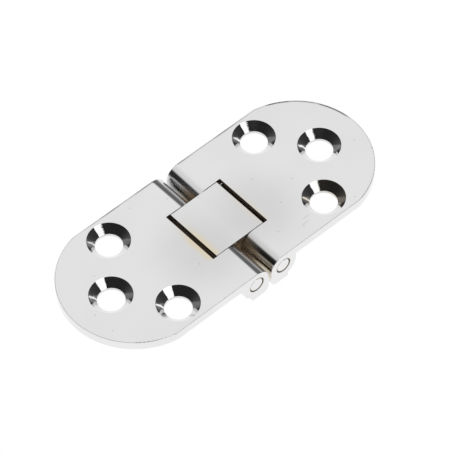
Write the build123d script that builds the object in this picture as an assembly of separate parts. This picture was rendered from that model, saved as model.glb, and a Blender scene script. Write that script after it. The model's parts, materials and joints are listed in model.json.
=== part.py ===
from build123d import *
import math
import os

# A flush flap hinge with two pivots, lying open and flat, in millimetres.
# X runs along the hinge, Y across it and Z up. The origin is under the middle, at the feet of the knuckles.

# Leaf plates
hinge_length = 80.0
hinge_width = 34.0
plate_thickness = 2.4
end_radius_excess = 0.3      # end arc's radius beyond half the width, which leaves a slight corner at the sides
edge_break = 0.1             # rounding of the polished outer edges
underside_break = 0.15       # chamfer of the plate's lower edges

# Screw holes
screw_hole_diameter = 6.1
countersink_diameter = 9.6
countersink_angle = 90.0
side_rim = 1.0               # metal between a side hole's countersink and the long edge
end_rim = 5.4                # metal between the end hole's countersink and the rounded end
hole_row_setback = 9.0       # from the end hole back to the pair of side holes

# Pivots
pin_diameter = 3.6
pin_clearance = 0.05         # radial running clearance of a pin in its bores
pin_recess = 0.1             # each pin end lies this far inside the leaf's side
pin_chamfer = 0.2
pin_depth = 3.4              # pin axis below the flush top, and the radius of the nose above it
nose_gap = 0.8               # between the noses of the two leaves

# Knuckles
knuckle_radius = 3.6         # belly and back of the barrel round the pin
foot_drop = 1.0              # foot below the barrel
foot_length = 4.65
foot_corner_radius = 1.6

# Link
link_width = 14.9
link_end_wall = 1.0          # metal between a pin bore and the link's end
link_edge_break = 0.1
stop_rebate = 0.5            # depth of the rebate in a plate's underside that takes a stop toe
stop_bearing = 1.2           # how far a stop toe reaches past the slot's undercut
stop_clearance = 0.05        # between a stop toe and its rebate
toe_corner_radius = 2.4
link_side_clearance = 0.12   # between the link and each side of the slots
fold_clearance = 0.37        # between the folded link's top and the end of the slot
sweep_clearance = 0.25       # between the turning link's corner and the slot's undercut

# Places that follow from the sizes above
half_length = hinge_length / 2
half_width = hinge_width / 2
pin_height = foot_drop + knuckle_radius
top_height = pin_height + pin_depth
plate_underside = top_height - plate_thickness
nose_reach = nose_gap / 2
pin_reach = nose_reach + pin_depth
bore_radius = pin_diameter / 2 + pin_clearance
link_overhang = bore_radius + link_end_wall
link_end = pin_reach + link_overhang
slot_half_width = link_width / 2 + link_side_clearance
slot_end = pin_reach + max(link_overhang, pin_depth) + fold_clearance
corner_sweep = math.hypot(link_overhang, pin_depth)
undercut_radius = max(corner_sweep, knuckle_radius) + sweep_clearance
rebate_height = plate_underside + stop_rebate
undercut_reach = math.sqrt(undercut_radius**2 - (rebate_height - pin_height) ** 2)
toe_top = rebate_height - stop_clearance
toe_end = pin_reach + undercut_reach + stop_bearing
toe_sweep = math.hypot(toe_end - pin_reach, toe_top - pin_height)
rebate_end = pin_reach + toe_sweep + sweep_clearance
link_base = pin_height - link_overhang
countersink_radius = countersink_diameter / 2
end_hole_reach = half_length - end_rim - countersink_radius
side_hole_reach = end_hole_reach - hole_row_setback
side_hole_offset = half_width - side_rim - countersink_radius
screw_holes = [
    (end_hole_reach, 0),
    (side_hole_reach, side_hole_offset),
    (side_hole_reach, -side_hole_offset),
]


def across(profile, width):
    """Extrudes a profile drawn in the XZ plane evenly to both sides of it."""
    return extrude(profile, amount=width / 2, both=True)


def cross_bore(reach, radius, length):
    """A cylinder along Y on a pin's axis."""
    axis_place = Pos(reach, 0, pin_height) * Rot(X=90)
    return axis_place * Cylinder(radius, length)


def plate():
    """The right leaf's flat plate, from the pin's axis to the rounded end."""
    end_radius = half_width + end_radius_excess
    arc_start = half_length - end_radius + math.sqrt(end_radius**2 - half_width**2)
    near_side = Line((pin_reach, -half_width), (arc_start, -half_width))
    end_arc = ThreePointArc(near_side @ 1, (half_length, 0), (arc_start, half_width))
    far_side = Line(end_arc @ 1, (pin_reach, half_width))
    inner_edge = Line(far_side @ 1, near_side @ 0)
    outline = make_face([near_side, end_arc, far_side, inner_edge])
    return Pos(Z=plate_underside) * extrude(outline, amount=plate_thickness)


def knuckle():
    """The barrel under the plate's inner edge: a round nose, a stop foot, a round belly and a straight back."""
    foot_end = nose_reach + foot_length
    foot_top = pin_height - math.sqrt(knuckle_radius**2 - (foot_end - pin_reach) ** 2)
    foot_angle = math.degrees(math.atan2(foot_top - pin_height, foot_end - pin_reach))
    nose = CenterArc((pin_reach, pin_height), pin_depth, 90, 90)
    stop_face = Line(nose @ 1, (nose_reach, foot_corner_radius))
    corner_centre = (nose_reach + foot_corner_radius, foot_corner_radius)
    foot_corner = CenterArc(corner_centre, foot_corner_radius, 180, 90)
    foot_sole = Line(foot_corner @ 1, (foot_end, 0))
    foot_back = Line(foot_sole @ 1, (foot_end, foot_top))
    belly = CenterArc((pin_reach, pin_height), knuckle_radius, foot_angle, -foot_angle)
    back = Line(belly @ 1, (pin_reach + knuckle_radius, top_height))
    flat_top = Line(back @ 1, nose @ 0)
    outline = make_face([nose, stop_face, foot_corner, foot_sole, foot_back, belly, back, flat_top])
    return across(Plane.XZ * outline, hinge_width)


def screw_hole():
    """A through hole with its countersink, standing on the plate's top."""
    hole_radius = screw_hole_diameter / 2
    slope = math.tan(math.radians(countersink_angle / 2))
    cone_depth = (countersink_radius - hole_radius) / slope
    cone = Pos(Z=-cone_depth / 2) * Cone(hole_radius, countersink_radius, cone_depth)
    return cone + Cylinder(hole_radius, 2 * top_height)


def slot():
    """The square cut that takes the link. Its end is hollowed where the link's top corner swings past, and a
    rebate under it takes the link's stop toe."""
    cut = Pos(0, 0, top_height / 2) * Box(2 * slot_end, 2 * slot_half_width, 2 * top_height)
    undercut = cross_bore(pin_reach, undercut_radius, 2 * slot_half_width)
    rebate = Pos(0, 0, rebate_height / 2) * Box(2 * rebate_end, 2 * slot_half_width, rebate_height)
    return cut + undercut + rebate


def leaf():
    """The right leaf: plate and knuckles in one piece, with its slot, pin bore and screw holes."""
    body = plate() + knuckle()
    rim = body.edges().filter_by_position(Axis.Z, top_height, top_height) - body.edges().filter_by(Axis.Y)
    body = fillet(rim, edge_break)
    lower_edges = body.edges().filter_by_position(Axis.Z, plate_underside, plate_underside)
    body = chamfer(lower_edges - lower_edges.filter_by(Axis.Y), underside_break)
    body -= slot()
    body -= cross_bore(pin_reach, bore_radius, 2 * hinge_width)
    for reach, offset in screw_holes:
        body -= Pos(reach, offset, top_height) * screw_hole()
    return body


def link():
    """The block that carries both pins. Its top is flush in the slots, and a stop toe at the foot of each end
    bears in the rebate above it, so that neither leaf drops below flat."""
    half_profile = [
        (0, top_height),
        (link_end, top_height),
        (link_end, toe_top),
        (toe_end, toe_top),
        (toe_end, link_base),
        (0, link_base),
    ]
    half = across(Plane.XZ * make_face(Polyline(half_profile, close=True)), link_width)
    block = half + mirror(half, about=Plane.YZ)
    toe_corners = block.edges().filter_by(Axis.Y).filter_by_position(Axis.Z, link_base, link_base)
    block = fillet(toe_corners, toe_corner_radius)
    block = fillet(block.edges().filter_by_position(Axis.Z, top_height, top_height), link_edge_break)
    for reach in (pin_reach, -pin_reach):
        block -= cross_bore(reach, bore_radius, 2 * hinge_width)
    return block


def pin():
    """The right pin, chamfered at both ends."""
    body = cross_bore(pin_reach, pin_diameter / 2, hinge_width - 2 * pin_recess)
    return chamfer(body.edges().filter_by(GeomType.CIRCLE), pin_chamfer)


right_leaf = leaf()
right_pin = pin()
pieces = {
    "left_leaf": mirror(right_leaf, about=Plane.YZ),
    "right_leaf": right_leaf,
    "link": link(),
    "left_pin": mirror(right_pin, about=Plane.YZ),
    "right_pin": right_pin,
}

os.makedirs("parts", exist_ok=True)
for name, piece in pieces.items():
    export_step(piece, f"parts/{name}.step")
    print(name, round(piece.volume, 1), "cubic millimetres")
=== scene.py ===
# %% [markdown]
# A drop leaf table hinge: two thin plates with round ends, two pins and a square link between them. Plates
# and link are brass under bright chrome, and the pins are bright steel. This lesson loads the solids as a
# fixed frame, gives each of them its finish, and lights the result the way small polished hardware is lit: on
# a white table, under one broad panel.

# %% Load the frame
import json
import math

import bpy
from mathutils import Matrix, Vector

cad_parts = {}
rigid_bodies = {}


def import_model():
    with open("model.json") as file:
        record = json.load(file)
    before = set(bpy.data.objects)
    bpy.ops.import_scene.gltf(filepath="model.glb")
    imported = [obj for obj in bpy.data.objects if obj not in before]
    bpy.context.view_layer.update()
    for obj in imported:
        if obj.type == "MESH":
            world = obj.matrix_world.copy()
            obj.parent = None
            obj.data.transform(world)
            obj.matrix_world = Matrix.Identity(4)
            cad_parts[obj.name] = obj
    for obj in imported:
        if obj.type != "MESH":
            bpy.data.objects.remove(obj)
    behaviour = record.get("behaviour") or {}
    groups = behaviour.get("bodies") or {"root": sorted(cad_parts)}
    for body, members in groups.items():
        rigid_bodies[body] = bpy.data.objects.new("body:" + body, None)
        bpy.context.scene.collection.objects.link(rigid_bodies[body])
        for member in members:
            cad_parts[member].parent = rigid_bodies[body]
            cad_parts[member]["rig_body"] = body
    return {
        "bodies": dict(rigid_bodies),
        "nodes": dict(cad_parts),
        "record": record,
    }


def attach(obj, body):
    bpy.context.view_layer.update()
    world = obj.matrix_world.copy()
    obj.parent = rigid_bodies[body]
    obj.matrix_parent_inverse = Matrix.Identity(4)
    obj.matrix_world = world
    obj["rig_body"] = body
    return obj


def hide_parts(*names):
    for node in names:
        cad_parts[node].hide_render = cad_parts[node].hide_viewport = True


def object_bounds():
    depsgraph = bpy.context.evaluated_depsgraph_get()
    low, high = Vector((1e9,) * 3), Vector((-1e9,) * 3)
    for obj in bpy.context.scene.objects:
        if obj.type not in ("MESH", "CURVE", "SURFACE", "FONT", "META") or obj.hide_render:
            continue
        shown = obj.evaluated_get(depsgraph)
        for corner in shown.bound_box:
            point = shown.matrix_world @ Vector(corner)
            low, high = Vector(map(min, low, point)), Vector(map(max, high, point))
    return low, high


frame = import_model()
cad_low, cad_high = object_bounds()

mm = 0.001

# %% [markdown]
# The frame brings only the solids. A new Blender file may also hold a cube, a lamp and a camera, which would
# spoil the picture, so everything that the frame didn't bring is removed first.

# %% Empty the stage
kept = set(frame["bodies"].values()) | set(frame["nodes"].values())
strangers = [item for item in bpy.data.objects if item not in kept]
for item in strangers:
    bpy.data.objects.remove(item)
print("removed", len(strangers), "objects")

# %% [markdown]
# The camera stands well back with a long lens, high on the near left side, so the plates look almost as
# they would in a drawing. Its place is given as a direction, a distance and a small shift of the point it
# looks at, which starts at the middle of the top face. A place in bare coordinates would be harder to adjust.

# %% Camera
view_azimuth = math.radians(-40.36)
view_elevation = math.radians(52.55)
view_roll = math.radians(-1.785)
view_distance = 785.3 * mm
aim_right = 2.326 * mm
aim_up = -1.893 * mm
camera_lens = 290.9         # in millimetres, as Blender counts a lens and its sensor
camera_sensor = 36.0

top_height = cad_high.z
level = math.cos(view_elevation)
back_east = math.sin(view_azimuth) * level
back_north = -math.cos(view_azimuth) * level
back = Vector((back_east, back_north, math.sin(view_elevation)))
level_right = Vector((math.cos(view_azimuth), math.sin(view_azimuth), 0))
level_up = back.cross(level_right)
right = level_right * math.cos(view_roll) + level_up * math.sin(view_roll)
up = level_up * math.cos(view_roll) - level_right * math.sin(view_roll)
aim = Vector((0, 0, top_height)) + right * aim_right + up * aim_up

camera_data = bpy.data.cameras.new("photo_camera")
camera_data.lens = camera_lens
camera_data.sensor_width = camera_sensor
camera = bpy.data.objects.new("photo_camera", camera_data)
bpy.context.scene.collection.objects.link(camera)
axes = Matrix((right, up, back)).transposed().to_4x4()
camera.matrix_world = Matrix.Translation(aim + back * view_distance) @ axes
bpy.context.scene.camera = camera
print("camera at", [round(value, 4) for value in camera.location])

# %% [markdown]
# Node trees are easier to read as arithmetic. A Wire is one output socket of a node. Adding, subtracting,
# multiplying or dividing wires adds the Math nodes, and the node method makes every other kind: it takes
# the node's type, its settings, which are set first, and the values or wires of its sockets. Wiring each
# node by hand would do the same in many more lines.

# %% Arithmetic for node trees
mix_factor, mix_first, mix_second, mix_result = 0, 6, 7, 2    # a Mix node's sockets when it mixes colours


class Wire:
    """An output socket that takes part in Python arithmetic. A wire with no socket starts a tree."""

    def __init__(self, tree, socket=None):
        self.tree = tree
        self.socket = socket

    def node(self, kind, settings=None, sockets=None, output=0):
        made = self.tree.nodes.new(kind)
        for name, value in (settings or {}).items():
            setattr(made, name, value)
        for name, value in (sockets or {}).items():
            if isinstance(value, Wire):
                self.tree.links.new(value.socket, made.inputs[name])
            else:
                made.inputs[name].default_value = value
        if not made.outputs:
            return made
        return Wire(self.tree, made.outputs[output])

    def math(self, operation, first, second=0.0):
        return self.node("ShaderNodeMath", {"operation": operation}, {0: first, 1: second})

    def __add__(self, other):
        return self.math("ADD", self, other)

    def __sub__(self, other):
        return self.math("SUBTRACT", self, other)

    def __rsub__(self, other):
        return self.math("SUBTRACT", other, self)

    def __mul__(self, other):
        return self.math("MULTIPLY", self, other)

    def __truediv__(self, other):
        return self.math("DIVIDE", self, other)

    def __pow__(self, other):
        return self.math("POWER", self, other)

    def __abs__(self):
        return self.math("ABSOLUTE", self)

    __radd__ = __add__
    __rmul__ = __mul__

    def rise(self, start, end):
        """0 before start, 1 after end and a soft step between. With start above end it falls instead."""
        if start > end:
            return 1 - self.rise(end, start)
        sockets = {"Value": self, "From Min": start, "From Max": end}
        return self.node("ShaderNodeMapRange", {"interpolation_type": "SMOOTHSTEP"}, sockets)

    def beside(self, name):
        """Another output of the same node."""
        return Wire(self.tree, self.socket.node.outputs[name])

    def split(self, vector):
        """The three coordinates of a vector."""
        parts = self.node("ShaderNodeSeparateXYZ", None, {0: vector}).socket.node
        return [Wire(self.tree, socket) for socket in parts.outputs]

    def length(self, across, along):
        """The length of a vector that is given by two wires."""
        return self.math("SQRT", across ** 2.0 + along ** 2.0)

    def either(self, other):
        return self.math("MAXIMUM", self, other)

    def nearer(self, other):
        return self.math("MINIMUM", self, other)

    def mix(self, first, second):
        """Goes from the first colour to the second one as this wire goes from 0 to 1."""
        sockets = {mix_factor: self, mix_first: first, mix_second: second}
        return self.node("ShaderNodeMix", {"data_type": "RGBA"}, sockets, output=mix_result)


print("node arithmetic ready")

# %% [markdown]
# Every material here starts the same way: an empty tree, one wire to build from, and an output node that
# waits for the finished shader. Greys are used so often that they have a short name of their own.

# %% Starting a material
def grey(value):
    return (value, value, value, 1.0)


def new_material(name):
    """An empty node material, its first wire and its output node."""
    material = bpy.data.materials.new(name)
    material.use_nodes = True
    material.node_tree.nodes.clear()
    start = Wire(material.node_tree)
    end = start.node("ShaderNodeOutputMaterial")
    return material, start, end


def close_material(end, shader):
    shader.tree.links.new(shader.socket, end.inputs["Surface"])


black = grey(0.0)
white = grey(1.0)
print("black", black, "white", white)

# %% [markdown]
# Several finishes depend on where a point lies on the hinge seen from above: how far inside the outline it
# is, and how far from the nearest screw hole. The hinge is the same on both sides, so one quarter of it
# describes the whole, and the record's mounts give the holes.

# %% Plan of the hinge
end_radius = 17.3 * mm
half_width = cad_high.y
end_centre = cad_high.x - end_radius


def object_place(start):
    """The point on the piece, in metres, and its three coordinates."""
    place = start.node("ShaderNodeTexCoord", output="Object")
    return [place] + start.split(place)


def folded_hole_axes():
    """The screw holes' axes on one quarter of the part, from the record's mounts."""
    bores = [mount for mount in frame["record"]["mounts"] if mount["name"].endswith("screw_hole")]
    return sorted({(abs(bore["pos_m"][0]), abs(bore["pos_m"][1])) for bore in bores})


def hole_distance(start, x, y):
    """The distance from the nearest screw hole's axis."""
    nearest = None
    for across, along in folded_hole_axes():
        reach = start.length(abs(x) - across, abs(y) - along)
        nearest = reach if nearest is None else nearest.nearer(reach)
    return nearest


def rim_distance(start, x, y):
    """How far a point lies inside the plates' outline."""
    past = (abs(x) - end_centre).either(0.0)
    round_rim = end_radius - start.length(past, y)
    return (half_width - abs(y)).nearer(round_rim)


print("screw hole axes", folded_hole_axes(), "end centre", round(end_centre, 4))

# %% [markdown]
# Polished metal shows its surroundings, so the surroundings come first. The floor under the hinge is a white
# table top: it shows through the screw holes, and every upright side mirrors it. One square face is enough.

# %% Floor
floor_half = 3.0            # in metres
corners = [(-floor_half, -floor_half, 0), (floor_half, -floor_half, 0)]
corners += [(floor_half, floor_half, 0), (-floor_half, floor_half, 0)]
floor_mesh = bpy.data.meshes.new("white_table")
floor_mesh.from_pydata(corners, [], [(0, 1, 2, 3)])
floor = bpy.data.objects.new("white_table", floor_mesh)
bpy.context.scene.collection.objects.link(floor)
print("white table", 2 * floor_half, "m wide")

# %% [markdown]
# A plain emission makes the sheet evenly white. Only what lies under the plates is shaded, least of all near
# the holes, which let light through, and most of all under the knuckles. An Ambient Occlusion node takes the
# shade away again where a folded plate no longer covers the table.

# %% Shade on the floor
floor_brightness = 1.0
plate_shade = 0.6
plate_shade_rim = (4.0 * mm, 10.0 * mm)
plate_shade_hole = (9.5 * mm, 15.0 * mm)
knuckle_shade = 0.97
knuckle_shade_middle = 3.0 * mm
knuckle_shade_side = (14.0 * mm, 6.5 * mm)
knuckle_shade_near = (-12.0 * mm, -3.0 * mm)
knuckle_shade_far = (14.0 * mm, 7.0 * mm)
cover_reach = 30.0 * mm
cover_samples = 16
cover_range = (0.3, 0.6)

floor_material, start, end = new_material("lit_white_sheet")
x, y = object_place(start)[1:3]
inside = rim_distance(start, x, y).rise(*plate_shade_rim)
under_plates = inside * hole_distance(start, x, y).rise(*plate_shade_hole)
under_knuckles = abs(x - knuckle_shade_middle).rise(*knuckle_shade_side)
under_knuckles = under_knuckles * y.rise(*knuckle_shade_near) * y.rise(*knuckle_shade_far)
shade = (under_plates * plate_shade).either(under_knuckles * knuckle_shade)
settings = {"samples": cover_samples}
openness = start.node("ShaderNodeAmbientOcclusion", settings, {"Distance": cover_reach}, output="AO")
sheet = openness.rise(*cover_range).mix(black, white)
lit = start.node("ShaderNodeEmission", None, {"Color": white, "Strength": floor_brightness})
shaded = start.node("ShaderNodeEmission", None, {"Color": sheet, "Strength": floor_brightness})
close_material(end, start.node("ShaderNodeMixShader", None, {0: shade, 1: lit, 2: shaded}))
floor_mesh.materials.append(floor_material)
print("floor shaded with", len(start.tree.nodes), "nodes")

# %% [markdown]
# The room is a rule on direction, because a mirror asks only what lies in which direction. A set of lamps
# could do the same, but each of its edges would have to be aimed. The direction gives the elevation in
# degrees, how much it faces the lighter side of the room, and how far it points away from the camera.

# %% Directions in the room
lighter_azimuth = math.radians(35.0)
far_azimuth = math.radians(50)

room = bpy.data.worlds.new("studio_room")
room.use_nodes = True
room.node_tree.nodes.clear()
bpy.context.scene.world = room
start = Wire(room.node_tree)
direction = start.node("ShaderNodeTexCoord", output="Generated")
east, north, height = start.split(direction)
elevation = start.math("DEGREES", start.math("ARCSINE", height))
facing = start.math("COSINE", start.math("ARCTAN2", north, east) - lighter_azimuth)
farness = east * math.cos(far_azimuth) + north * math.sin(far_azimuth)
print("directions take", len(room.node_tree.nodes), "nodes")

# %% [markdown]
# The lower room is a dark band, which draws the black rings in the countersinks, above a horizon that the
# table brightens. Grey walls show below the band on the near side. Each is a brightness that fades into the
# next one, because hard edges would show as lines in the metal.

# %% Band, horizon and walls
far_facing = (0.65, 0.98)
side_facing = (-0.8, 0.3)
band_near = 0.022
band_side = 0.042
band_far = 0.14
horizon_near = 0.10
horizon_far = 0.60
horizon_top = 25.0          # in degrees of elevation
horizon_fade = 1.5
wall_light = 0.35
wall_top = 0.26
wall_slope = 0.43
wall_edge = (0.11, 0.26)

far_share = facing.rise(*far_facing)
side_share = facing.rise(*side_facing)
band = band_near + side_share * (band_side - band_near) + far_share * (band_far - band_side)
horizon = horizon_near + far_share * (horizon_far - horizon_near)
low_share = elevation.rise(horizon_top, 0.0) ** horizon_fade
lower_room = band + low_share * (horizon - band)
below_band = (wall_top - wall_slope * farness - height).rise(*wall_edge)
lower_room = lower_room + below_band * (wall_light - lower_room)
print("dark band from", band_near, "to", band_far)

# %% [markdown]
# A broad panel hangs overhead and starts at a soft edge. It covers the far half of the ceiling. The near
# half over the camera is dimmer, with one small lamp in it that makes the fine glint in the countersinks.

# %% Panel and small lamp
panel_edge = (37.5, 52.0)   # in degrees of elevation
panel_far = 0.895
panel_side = 0.76
panel_facing = (0.1, 0.95)
near_edge = (-0.16, 0.06)
near_dim = 0.38
glint_azimuth = math.radians(-58)
glint_elevation = math.radians(55.5)
glint_outer = math.radians(3.2)
glint_inner = math.radians(2.0)
glint_radiance = 1.8

panel = panel_side + facing.rise(*panel_facing) * (panel_far - panel_side)
panel = panel * (near_dim + farness.rise(*near_edge) * (1 - near_dim))
radiance = lower_room + elevation.rise(*panel_edge) * (panel - lower_room)
glint_east = math.cos(glint_azimuth) * math.cos(glint_elevation)
glint_north = math.sin(glint_azimuth) * math.cos(glint_elevation)
towards_glint = east * glint_east + north * glint_north + height * math.sin(glint_elevation)
glint = towards_glint.rise(math.cos(glint_outer), math.cos(glint_inner))
radiance = radiance + glint * glint_radiance
print("panel from", panel_edge[0], "degrees up")

# %% [markdown]
# The camera itself sees plain white past the table's edge, and scattered light meets an even fill. Only
# mirrored rays see the room that was drawn above. A Light Path node tells these kinds of ray apart.

# %% What each ray meets
fill_light = 0.92

seen = start.node("ShaderNodeLightPath", output="Is Camera Ray")
shown = radiance + seen * (1 - radiance)
shown = shown + seen.beside("Is Diffuse Ray") * (fill_light - shown)
background = start.node("ShaderNodeBackground", None, {"Color": white, "Strength": shown})
end = start.node("ShaderNodeOutputWorld")
close_material(end, background)
room.cycles.sampling_method = "NONE"
print("room built with", len(room.node_tree.nodes), "nodes")

# %% [markdown]
# One bright softbox stands at the near right. It is narrow, and it makes the white wedge in every
# countersink. A glowing face could stand there, but an area lamp needs no mesh and no material. Its power
# follows from the brightness that it should show.

# %% Softbox
box_azimuth = math.radians(-84)
box_elevation = math.radians(32.5)
box_distance = 0.9          # in metres, as its width and height
box_width = 0.56
box_height = 0.17
box_radiance = 1.45

box_east = math.cos(box_azimuth) * math.cos(box_elevation)
box_north = math.sin(box_azimuth) * math.cos(box_elevation)
towards = Vector((box_east, box_north, math.sin(box_elevation)))
lamp = bpy.data.lights.new("softbox", "AREA")
lamp.shape = "RECTANGLE"
lamp.size = box_width
lamp.size_y = box_height
lamp.energy = box_radiance * math.pi * box_width * box_height
softbox = bpy.data.objects.new("softbox", lamp)
bpy.context.scene.collection.objects.link(softbox)
softbox.location = towards * box_distance
softbox.rotation_euler = towards.to_track_quat("Z", "Y").to_euler()
bpy.context.scene.view_settings.view_transform = "Standard"
print("softbox power", round(lamp.energy, 3), "W")

# %% [markdown]
# The plating. Chrome is a metal with a bright neutral colour and very little roughness. A polished plate is
# never perfect: the buffing leaves faint clouds. A soft oval of painted shade darkens the plates round the
# link. Noise makes the clouds, and both come from the place on the piece, so neither needs an image.

# %% Clouds and painted shade
cloud_noise = {"Scale": 110.0, "Detail": 4.0, "Roughness": 0.55}
cloud_range = (0.3, 0.7)
# The size of the painted shade on the plates beside the slots.
top_shade_reach = 7.5 * mm
top_shade_width = 8.0 * mm
top_shade_nearness = 4.5 * mm
top_shade_length = 7.5 * mm
top_shade_range = (1.9, 0.3)


def buffing_clouds(start, place):
    """Soft clouds from 0 to 1, about a centimetre across, with finer ones in them."""
    sockets = {"Vector": place, **cloud_noise}
    return start.node("ShaderNodeTexNoise", None, sockets).rise(*cloud_range)


def painted_top_shade(start, x, y):
    """Painted shade on the plates beside the slots, strongest a little towards the near side."""
    across = (abs(x) - top_shade_reach) / top_shade_width
    along = (y + top_shade_nearness) / top_shade_length
    return start.length(across, along).rise(*top_shade_range)


print("cloud noise", cloud_noise)

# %% [markdown]
# A few pits and short hairline marks stay behind on every plated face. The cells of a Voronoi texture make
# both: a pit is a speck round a cell's point, and a hairline is a speck in a pattern that was squeezed along
# one direction. Only some of the cells have one. Modelled marks would take many faces and show no better.

# %% Pits and hairlines
mark_spacing = 6.0 * mm
speck_core = 0.5
luck_step = 0.98
pit_radius = 0.18 * mm
pit_share = 0.3
hairline_half_length = 1.6 * mm
hairline_half_width = 0.11 * mm
hairline_share = 0.35
hairline_weight = 0.55
hairline_turns = (0.5, -1.1)    # in radians


def specks(start, place, radius, share):
    """Round specks: at most one in each cell, and only in the given share of the cells."""
    sockets = {"Vector": place, "Scale": 1 / mark_spacing}
    cell = start.node("ShaderNodeTexVoronoi", {"voronoi_dimensions": "2D"}, sockets)
    luck = start.node("ShaderNodeSeparateColor", None, {0: cell.beside("Color")})
    outer = radius / mark_spacing
    return cell.rise(outer, outer * speck_core) * luck.rise(share, share * luck_step)


def hairlines(start, place, turned):
    """Short thin marks that all run in one direction."""
    squeeze = (hairline_half_width / hairline_half_length, 1.0, 1.0)
    sockets = {"Vector": place, "Rotation": (0, 0, turned), "Scale": squeeze}
    squeezed = start.node("ShaderNodeMapping", None, sockets)
    return specks(start, squeezed, hairline_half_width, hairline_share)


def plating_marks(start, place):
    """Pits, and hairlines in a few directions, from 0 to 1."""
    marks = specks(start, place, pit_radius, pit_share)
    for turned in hairline_turns:
        marks = marks.either(hairlines(start, place, turned) * hairline_weight)
    return marks


print("cells of", mark_spacing / mm, "mm, hairlines in", len(hairline_turns), "directions")

# %% [markdown]
# Between the knuckles and in the slots the colour is darker and browner: painted shade in these recesses,
# fading to clean chrome at the open ends. The metal there is also rougher. Masks on the piece's own
# coordinates say where this is. Painted textures would need an unwrapped mesh, and these don't.

# %% Painted shade in the gap and the slots
pivots = {joint["name"]: joint["pos_m"] for joint in frame["record"]["behaviour"]["joints"]}
pin_reach = pivots["right_pivot"][0]
pin_height = pivots["right_pivot"][2]
slot_half = 7.57 * mm
link_end = 6.65 * mm
gap_depth = (0.45 * mm, 1.3 * mm)
gap_near_lift = 0.25 * mm
gap_near_run = (2.0 * mm, -6.0 * mm)
gap_nose_share = 0.7
gap_clean_end = (half_width - 0.15 * mm, half_width - 0.5 * mm)
slot_shade_outside = (slot_half + 0.1 * mm, slot_half + 0.02 * mm)
slot_shade_link_end = (pin_reach, link_end - 0.3 * mm)
slot_shade_depth = (0.12 * mm, 0.5 * mm)
slot_shade_side = (slot_half + 0.2 * mm, slot_half + 0.02 * mm)
brown_far_fade = (14.5 * mm, 8.5 * mm)
brown_near_fade = (-13.5 * mm, -8.0 * mm)


# Painted shade between the knuckles.
def painted_gap_shade(x, y, z):
    """1 deep between the knuckles, 0 on the open faces and on the knuckles' ends."""
    depth = top_height - z + y.rise(*gap_near_run) * gap_near_lift
    inner = abs(x).rise(pin_reach, pin_reach * gap_nose_share)
    return depth.rise(*gap_depth) * inner * abs(y).rise(*gap_clean_end)


# Painted shade in the slots.
def painted_slot_shade(x, y, z):
    """1 on the walls of the slots and on the link's ends."""
    walls = abs(x).rise(*slot_shade_outside) * abs(x).rise(*slot_shade_link_end)
    return walls * (top_height - z).rise(*slot_shade_depth) * abs(y).rise(*slot_shade_side)


def beside_link(y):
    """1 next to the link, 0 at the open ends of the knuckles."""
    return y.rise(*brown_far_fade) * y.rise(*brown_near_fade)


print("pins", pin_reach / mm, "mm from the middle, slots end at", slot_half / mm, "mm")

# %% [markdown]
# Where chrome ends it wears off first. A yellow edge of bare brass is left on the polished top beside the
# slots, and old oil fills the seam round each pin. The upper edges of the slots get a thin dark line, a
# painted reflection of the dark band. They are masks too, because they change the colour of a face and not
# its shape.

# %% Worn edges, painted dark lines and seams
edge_line_outside = (slot_half + 0.2 * mm, slot_half + 0.1 * mm)
edge_line_link_end = (link_end - 0.14 * mm, link_end - 0.04 * mm)
edge_line_side = (slot_half + 0.12 * mm, slot_half + 0.02 * mm)
edge_line_height = (top_height - 0.6 * mm, top_height - 0.4 * mm)
warm_height = (top_height - 0.3 * mm, top_height - 0.05 * mm)
warm_near_end = (-8.0 * mm, -6.4 * mm)
warm_left_width = (2.5 * mm, 0.8 * mm)
warm_left_run = (6.0 * mm, -1.5 * mm)
warm_right_width = (1.9 * mm, 0.7 * mm)
warm_right_run = (8.5 * mm, -2.0 * mm)
warm_right_weight = 0.35
seam_inner = (1.66 * mm, 1.78 * mm)
seam_outer = (2.04 * mm, 1.94 * mm)
seam_end = (half_width - 0.6 * mm, half_width - 0.4 * mm)


def painted_slot_edge_lines(x, y, z):
    """A thin painted dark reflection along the upper edges of the slots and of the link's ends."""
    line = abs(x).rise(*edge_line_outside) * abs(x).rise(*edge_line_link_end)
    return line * z.rise(*edge_line_height) * abs(y).rise(*edge_line_side)


def warm_edges(x, y, z):
    """A yellow edge on the top beside the slots, strongest beside the near half of the left one."""
    middle = (slot_half + link_end) / 2
    left = abs(x + middle).rise(*warm_left_width) * y.rise(*warm_left_run)
    right = abs(x - middle).rise(*warm_right_width) * y.rise(*warm_right_run) * warm_right_weight
    return z.rise(*warm_height) * left.either(right) * y.rise(*warm_near_end)


def seam_grime(start, x, y, z):
    """A line of old oil in the seam round each pin's end."""
    reach = start.length(abs(x) - pin_reach, z - pin_height)
    return reach.rise(*seam_inner) * reach.rise(*seam_outer) * abs(y).rise(*seam_end)


print("seams", seam_inner[0] / mm, "to", seam_outer[0] / mm, "mm round the pins' axes")

# %% [markdown]
# The countersinks were turned, which leaves rings too fine for the solids. A one-dimensional noise on the
# distance from the nearest hole gives each ring its own tilt. Every hole reads another stretch of the noise,
# so no two look alike. One countersink has also lost its brightness on one wall.

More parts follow.
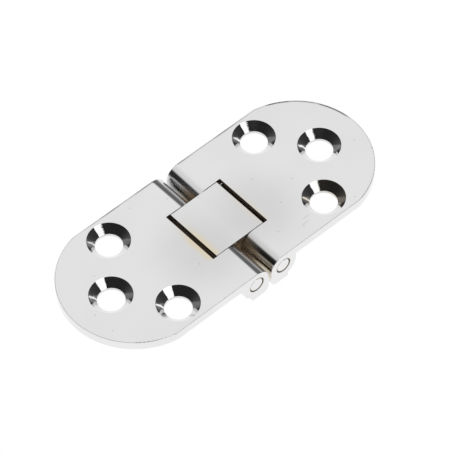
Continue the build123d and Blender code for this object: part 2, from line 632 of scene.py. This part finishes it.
# %% Countersinks
plate_thickness = 2.4 * mm
plate_underside = top_height - plate_thickness
cut_top = (top_height - 0.02 * mm, top_height - 0.1 * mm)
cut_bottom = (plate_underside, plate_underside + 0.05 * mm)
cut_radius = (5.0 * mm, 4.9 * mm)
right_half = (-1.0 * mm, 1.0 * mm)
far_holes = (5.5 * mm, 6.0 * mm)
near_holes = (-5.5 * mm, -6.0 * mm)
ring_height = 0.005 * mm
ring_noise = {"Scale": 4000.0, "Detail": 2.0}
ring_middle = 0.5
ring_stretch = 10.0 * mm
ring_right, ring_far, ring_near = 7.0, 3.0, 2.0
ring_base, ring_deeper = 0.35, 0.65
stain_reach = (12.0 * mm, 13.0 * mm)
stain_nearness = (-6.0 * mm, -6.5 * mm)
side_hole_reach = folded_hole_axes()[0][0]
stain_wall = (0.5 * mm, 3.5 * mm)


def countersunk(radius, z):
    """1 on the walls of the screw holes, 0 on the rest of the plate."""
    return z.rise(*cut_top) * z.rise(*cut_bottom) * radius.rise(*cut_radius)


def turned_rings(start, radius, x, y):
    """Ring heights about 0, uneven from one turn of the cutter to the next, and deepest in the far holes."""
    far_hole = y.rise(*far_holes)
    hole = x.rise(*right_half) * ring_right + far_hole * ring_far + y.rise(*near_holes) * ring_near
    sockets = {"W": radius + hole * ring_stretch, **ring_noise}
    rings = start.node("ShaderNodeTexNoise", {"noise_dimensions": "1D"}, sockets) - ring_middle
    return rings * (ring_base + ring_deeper * far_hole)


def stained_hole(x, y):
    """1 on the right wall of the near right screw hole, which has lost its brightness."""
    near_right = x.rise(*stain_reach) * y.rise(*stain_nearness)
    return near_right * (x - side_hole_reach).rise(*stain_wall)


print("rings", ring_height / mm, "mm deep, side holes at", round(side_hole_reach / mm, 2), "mm")

# %% [markdown]
# Polishing rolls the rim of a plate over a little, and it does so unevenly, which draws a dark line along
# the far rim. The roll is only a few hundredths of a millimetre deep, so it is bump on the surface, and it
# is deepest at a few places on the right plate's round end.

# %% Rolled rim
rim_width = 0.6 * mm
rim_drop = 0.07 * mm
rim_height = (top_height - 0.3 * mm, top_height - 0.1 * mm)
rim_noise = {"Scale": 130.0, "Detail": 1.0}
rim_wander = (0.4, 0.6)
rim_even, rim_even_far = 0.06, 0.32
rim_uneven, rim_uneven_far = 0.14, 0.18
far_side_start = (11.0 * mm, 15.0 * mm)
far_side_end = (end_centre + 2.0 * mm, end_centre - 2.0 * mm)
worn_end_start = (end_centre + 2.0 * mm, end_centre + 4.0 * mm)
worn_places = [(18.0, (16.0, 7.0), 1.0), (42.0, (13.0, 7.0), 0.45), (60.0, (11.0, 5.0), 1.0)]


def worn_end(start, x, y):
    """1 where the right end's rim is rolled most. Each place is an angle, its reach and its weight."""
    turn = start.math("DEGREES", start.math("ARCTAN2", y, x - end_centre))
    worn = None
    for angle, reach, weight in worn_places:
        spot = abs(turn - angle).rise(*reach) * weight
        worn = spot if worn is None else worn.either(spot)
    return worn * x.rise(*worn_end_start)


def rolled_rim(start, place, x, y, z):
    """How far the top has dropped at the rim, from 0 to about 1."""
    noise = start.node("ShaderNodeTexNoise", None, {"Vector": place, **rim_noise})
    far_side = y.rise(*far_side_start) * abs(x).rise(*far_side_end)
    even = rim_even + far_side * rim_even_far + worn_end(start, x, y)
    uneven = noise.rise(*rim_wander) * (rim_uneven + far_side * rim_uneven_far)
    share = (1 - rim_distance(start, x, y) / rim_width).either(0.0)
    return share ** 2.0 * z.rise(*rim_height) * (even + uneven)


print("rim rolled", rim_drop / mm, "mm deep over", rim_width / mm, "mm")

# %% [markdown]
# The flat tops carry a fine haze from buffing that scatters part of the light, so they don't turn black when
# they mirror the dark band. The undersides are taken to be polished less, so they have more of it, and the
# broken edges round a plate are a little rough. These masks say where, and the metals below say how much.

# %% Haze and edges
knuckle_back = (7.3 * mm, 7.4 * mm)
haze_height = (top_height - 0.02 * mm, top_height - 0.005 * mm)
haze_rim = (0.15 * mm, 0.5 * mm)
underside_range = (0.05 * mm, 0.02 * mm)
edge_width = (0.2 * mm, 0.14 * mm)
upper_edge_height = (top_height - 0.15 * mm, top_height - 0.1 * mm)
lower_edge_top = (plate_underside + 0.2 * mm, plate_underside + 0.15 * mm)
lower_edge_bottom = (plate_underside - 0.02 * mm, plate_underside)


def top_haze(start, x, y, z):
    """1 on the flat tops, 0 at their rims and everywhere else."""
    return z.rise(*haze_height) * rim_distance(start, x, y).rise(*haze_rim)


def underside(x, z):
    """1 on the flat undersides of the plates."""
    return abs(z - plate_underside).rise(*underside_range) * abs(x).rise(*knuckle_back)


def broken_edges(start, x, y, z):
    """1 on the small roundings and chamfers along a plate's outline."""
    lower = z.rise(*lower_edge_top) * z.rise(*lower_edge_bottom) * abs(x).rise(*knuckle_back)
    return rim_distance(start, x, y).rise(*edge_width) * z.rise(*upper_edge_height).either(lower)


print("underside of the plates at", round(plate_underside / mm, 2), "mm")

# %% [markdown]
# Colours are mixed layer over layer, each by its own mask, so that one can change without the others. The
# lowest is clean chrome with its clouds. The painted shade beside the slots darkens it, the warm edges turn
# it yellow, and the marks come last.

# %% Clean chrome
warm_brass = (0.78, 0.67, 0.455, 1.0)
mark_grey = grey(0.2)
cloud_dark, cloud_light = 0.012, 0.008
top_shade_weight = 0.13
warm_even, warm_cloudy = 0.5, 0.5
mark_weight = 0.5


def chrome_colour(start, place, reflectance, clouds, marks):
    """Clean chrome with its clouds, its painted shade, its warm edges and its marks."""
    x, y, z = start.split(place)
    colour = clouds.mix(grey(reflectance - cloud_dark), grey(reflectance + cloud_light))
    # Painted shade on the plates beside the slots.
    colour = (painted_top_shade(start, x, y) * top_shade_weight).mix(colour, black)
    warm = warm_edges(x, y, z) * (warm_even + warm_cloudy * clouds)
    return (marks * mark_weight).mix(warm.mix(colour, warm_brass), mark_grey)


print("brass shows as", warm_brass[:3])

# %% [markdown]
# The painted shade of the recesses lies over the chrome. In the gap it is smoky on the right nose, paler
# where it is deep, and grey at the far end, with brown beside the link. The slots are brown on the left and
# tan on the right.

# %% Colours of the painted shade
# Colours of the painted shade in the gap and the slots.
gap_shade_colour = (0.62, 0.59, 0.55, 1.0)
gap_shade_right = (0.34, 0.315, 0.28, 1.0)
gap_shade_deep = (0.75, 0.715, 0.66, 1.0)
gap_shade_far = grey(0.58)
gap_shade_brown = (0.30, 0.23, 0.155, 1.0)
deep_brown = (0.50, 0.40, 0.28, 1.0)
slot_brown = (0.26, 0.205, 0.145, 1.0)
slot_tan = (0.36, 0.285, 0.20, 1.0)
deep_range = (1.3 * mm, 2.3 * mm)
gap_shade_run = (-12.0 * mm, 10.0 * mm)


def shaded_recess_colour(start, place, colour, gap, brown, slot):
    """The colour with the painted shade of the gap and of the slots over it."""
    x, y, z = start.split(place)
    on_right = x.rise(*right_half)
    deep = (top_height - z).rise(*deep_range)
    near_film = deep.mix(on_right.mix(gap_shade_colour, gap_shade_right), gap_shade_deep)
    colour = gap.mix(colour, y.rise(*gap_shade_run).mix(near_film, gap_shade_far))
    colour = brown.mix(colour, deep.mix(gap_shade_brown, deep_brown))
    return slot.mix(colour, on_right.mix(slot_brown, slot_tan))


print("films from", gap_shade_brown[:3], "to", gap_shade_deep[:3])

# %% [markdown]
# A leaf has forms of its own: its countersinks, its broken edges, its hazy underside and its rolled rim. They
# are added to the sockets of the plain metal, so the link and the pins can do without them. One Bump node
# takes rings and rim together, with the deeper of the two as its distance.

# %% Fine forms of a leaf
stain_brown = (0.52, 0.42, 0.29, 1.0)
stain_weight = 0.5
cut_shade = 0.12
underside_haze = 0.5
stain_rough, cut_rough, edge_rough, underside_rough = 0.06, 0.03, 0.2, 0.12


def add_leaf_forms(start, place, sockets):
    """Adds a leaf's countersinks, broken edges, hazy underside and rolled rim to its sockets."""
    x, y, z = start.split(place)
    radius = hole_distance(start, x, y)
    cut = countersunk(radius, z)
    stain = cut * stained_hole(x, y) * stain_weight
    shaded_cut = (cut * cut_shade).mix(sockets["Base Color"], black)
    sockets["Base Color"] = stain.mix(shaded_cut, stain_brown)
    under = underside(x, z)
    sockets["Metallic"] = sockets["Metallic"] - under * underside_haze
    edge = broken_edges(start, x, y, z)
    rough = stain * stain_rough + cut * cut_rough + edge * edge_rough + under * underside_rough
    sockets["Roughness"] = sockets["Roughness"] + rough
    rings = cut * turned_rings(start, radius, x, y) * (ring_height / rim_drop)
    bump = {"Height": rings - rolled_rim(start, place, x, y, z), "Distance": rim_drop}
    sockets["Normal"] = start.node("ShaderNodeBump", None, bump)


print("bump distance", rim_drop / mm, "mm")

# %% [markdown]
# The steel of the pins is as bright as the chrome, so all three metals are one recipe. What is dull is less
# of a mirror: it is rougher, and part of it scatters light like paint, which a lower Metallic gives. The
# painted dark lines on the slot edges and the old oil in the seams are the last layers of colour.

# %% Plated metals
# The colour of the painted dark reflection along the slot edges.
edge_line_dark = (0.035, 0.028, 0.02, 1.0)
old_oil = (0.34, 0.30, 0.25, 1.0)
top_haze_weight = 0.45
brown_dullness = 0.75
dull_scatter = 0.3
clean_rough, cloud_rough, mark_rough = 0.03, 0.02, 0.2
gap_rough, dull_rough = 0.08, 0.26
leaf_reflectance, link_reflectance, pin_reflectance = 0.82, 0.80, 0.82


def plated(name, reflectance, is_leaf):
    """Bright metal with its marks, its thin places and, on a leaf, its fine forms."""
    material, start, end = new_material(name)
    place, x, y, z = object_place(start)
    clouds = buffing_clouds(start, place)
    marks = plating_marks(start, place)
    # Painted shade in the gap and the slots.
    gap = painted_gap_shade(x, y, z)
    slot = painted_slot_shade(x, y, z)
    brown = gap * beside_link(y)
    # A painted dark reflection along the slot edges.
    edges = painted_slot_edge_lines(x, y, z)
    grime = seam_grime(start, x, y, z)
    dull = (brown * brown_dullness).either(slot).either(grime).either(edges)
    haze = top_haze(start, x, y, z) * top_haze_weight

    colour = chrome_colour(start, place, reflectance, clouds, marks)
    colour = shaded_recess_colour(start, place, colour, gap, brown, slot)
    sockets = {"Base Color": grime.mix(edges.mix(colour, edge_line_dark), old_oil)}
    sockets["Metallic"] = 1 - (dull * dull_scatter).either(haze)
    rough = clean_rough + clouds * cloud_rough + marks * mark_rough
    sockets["Roughness"] = rough + gap * gap_rough + dull * dull_rough
    if is_leaf:
        add_leaf_forms(start, place, sockets)
    close_material(end, start.node("ShaderNodeBsdfPrincipled", None, sockets))
    print(name, "has", len(start.tree.nodes), "nodes")
    return material


leaf_metal = plated("chromed_leaf", leaf_reflectance, True)
link_metal = plated("chromed_link", link_reflectance, False)
pin_metal = plated("bright_pin", pin_reflectance, False)

# %% [markdown]
# The solids arrive as triangles with corner normals that lean over the small rounded edges, and a mirror
# shows that as a warped reflection. One Geometry Nodes tree finishes all five pieces: it welds the
# triangles, drops the old normals, keeps edges sharp above a crease angle and sets the metal.

# %% Finishing tree
def finishing_tree():
    tree = bpy.data.node_groups.new("finish_plated_piece", "GeometryNodeTree")
    face = tree.interface
    face.new_socket("Geometry", in_out="INPUT", socket_type="NodeSocketGeometry")
    face.new_socket("Weld distance", in_out="INPUT", socket_type="NodeSocketFloat")
    face.new_socket("Crease angle", in_out="INPUT", socket_type="NodeSocketFloat")
    face.new_socket("Metal", in_out="INPUT", socket_type="NodeSocketMaterial")
    face.new_socket("Geometry", in_out="OUTPUT", socket_type="NodeSocketGeometry")
    start = Wire(tree)
    solid = start.node("NodeGroupInput")
    weld = solid.beside("Weld distance")
    crease = solid.beside("Crease angle")
    metal = solid.beside("Metal")
    joined = start.node("GeometryNodeMergeByDistance", None, {"Geometry": solid, "Distance": weld})
    fold = start.node("GeometryNodeInputMeshEdgeAngle")
    sharp = start.node("FunctionNodeCompare", {"operation": "GREATER_THAN"}, {0: fold, 1: crease})
    sockets = {"Mesh": joined, "Remove Custom": True, "Edge Sharpness": sharp, "Face Sharpness": False}
    shaded = start.node("GeometryNodeSetMeshNormal", {"mode": "SHARPNESS"}, sockets)
    whole = start.node("GeometryNodeRealizeInstances", None, {"Geometry": shaded})
    dressed = start.node("GeometryNodeSetMaterial", None, {"Geometry": whole, "Material": metal})
    start.node("NodeGroupOutput", None, {"Geometry": dressed})
    return tree


finish_tree = finishing_tree()
print("finishing tree with", len(finish_tree.nodes), "nodes")

# %% [markdown]
# Each piece starts as a copy of its solid, because the solid itself stays as it is. The tree and a Weighted
# Normal modifier shade it, the evaluated result becomes a plain mesh, and the piece is attached to the body
# that carries its solid, which is then hidden.

# %% Finish the five pieces
weld_distance = 0.001 * mm
crease_angle = math.radians(35)


def finish_piece(node, metal):
    solid = frame["nodes"][node]
    piece = bpy.data.objects.new(node + "_finished", solid.data.copy())
    bpy.context.scene.collection.objects.link(piece)
    finish = piece.modifiers.new("finish", "NODES")
    finish.node_group = finish_tree
    inputs = [item for item in finish_tree.interface.items_tree if item.in_out == "INPUT"]
    for item, value in zip(inputs[1:], (weld_distance, crease_angle, metal)):
        finish[item.identifier] = value
    flat = piece.modifiers.new("flat_faces", "WEIGHTED_NORMAL")
    flat.keep_sharp = True
    graph = bpy.context.evaluated_depsgraph_get()
    plain = bpy.data.meshes.new_from_object(piece.evaluated_get(graph), depsgraph=graph)
    piece.modifiers.clear()
    piece.data = plain
    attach(piece, solid["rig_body"])
    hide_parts(node)
    print(piece.name, len(plain.vertices), "points", len(plain.polygons), "faces")


for side in ("left", "right"):
    finish_piece(side + "_leaf", leaf_metal)
    finish_piece(side + "_pin", pin_metal)
finish_piece("link", link_metal)
